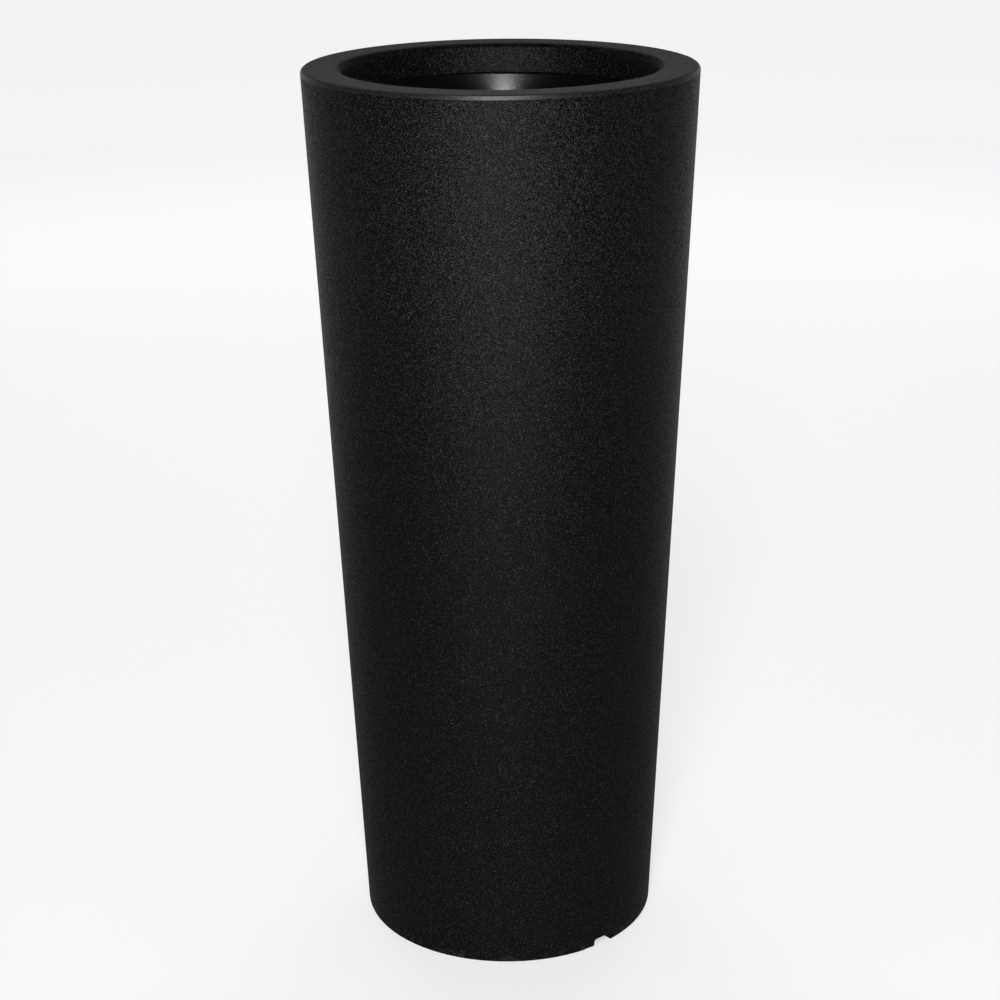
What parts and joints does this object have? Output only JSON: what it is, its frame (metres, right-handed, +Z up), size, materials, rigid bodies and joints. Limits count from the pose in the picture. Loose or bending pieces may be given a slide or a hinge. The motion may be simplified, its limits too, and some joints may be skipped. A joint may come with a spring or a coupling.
{
  "type": "tall cone planter",
  "caption": "Tall round floor planter that tapers to its foot, with a flat rim, a drop-in liner pot with swing-up lift handles, a drainage plate and drain plugs.",
  "frame": {"origin": "centre of the foot, on the surface that the planter stands on", "axes": "+Z up along the planter's axis, -Y towards the front, +X to the right as seen from the front"},
  "size_m": [0.3436, 0.3436, 0.8],
  "materials": {
    "shell_plastic": "black rotomoulded polyethylene with a fine speckled grain",
    "liner_plastic": "smooth glossy black moulded plastic",
    "handle_steel": "black powder-coated steel rod",
    "plate_plastic": "satin dark grey moulded plastic",
    "plug_rubber": "matt black rubber",
    "plug_plastic": "satin black moulded plastic",
    "seal_rubber": "matt black rubber"
  },
  "bodies": {
    "shell": {"planter_shell": "shell_plastic"},
    "liner": {"liner_pot": "liner_plastic"},
    "left_handle": {"lift_handle_left": "handle_steel"},
    "right_handle": {"lift_handle_right": "handle_steel"},
    "plate": {"drainage_plate": "plate_plastic"},
    "liner_plug": {"liner_drain_plug": "plug_rubber"},
    "base_plug": {"base_drain_plug": "plug_plastic", "base_plug_seal": "seal_rubber"}
  },
  "joints": [
    {"name": "liner_lift", "type": "slide", "parent": "shell", "child": "liner", "axis": [0, 0, 1], "range_m": [0, 0.26]},
    {"name": "left_handle_swing", "type": "hinge", "parent": "liner", "child": "left_handle", "pos_m": [-0.10051, 0, 0.7605], "axis": [0, -1, 0], "range_deg": [0, 180]},
    {"name": "right_handle_swing", "type": "hinge", "parent": "liner", "child": "right_handle", "pos_m": [0.10051, 0, 0.7605], "axis": [0, 1, 0], "range_deg": [0, 180]},
    {"name": "plate_lift", "type": "slide", "parent": "liner", "child": "plate", "axis": [0, 0, 1], "range_m": [0, 0.24]},
    {"name": "liner_plug_pull", "type": "slide", "parent": "liner", "child": "liner_plug", "axis": [0, 0, 1], "range_m": [0, 0.05]},
    {"name": "base_plug_pull", "type": "slide", "parent": "shell", "child": "base_plug", "axis": [0, 0, 1], "range_m": [0, 0.06]}
  ]
}
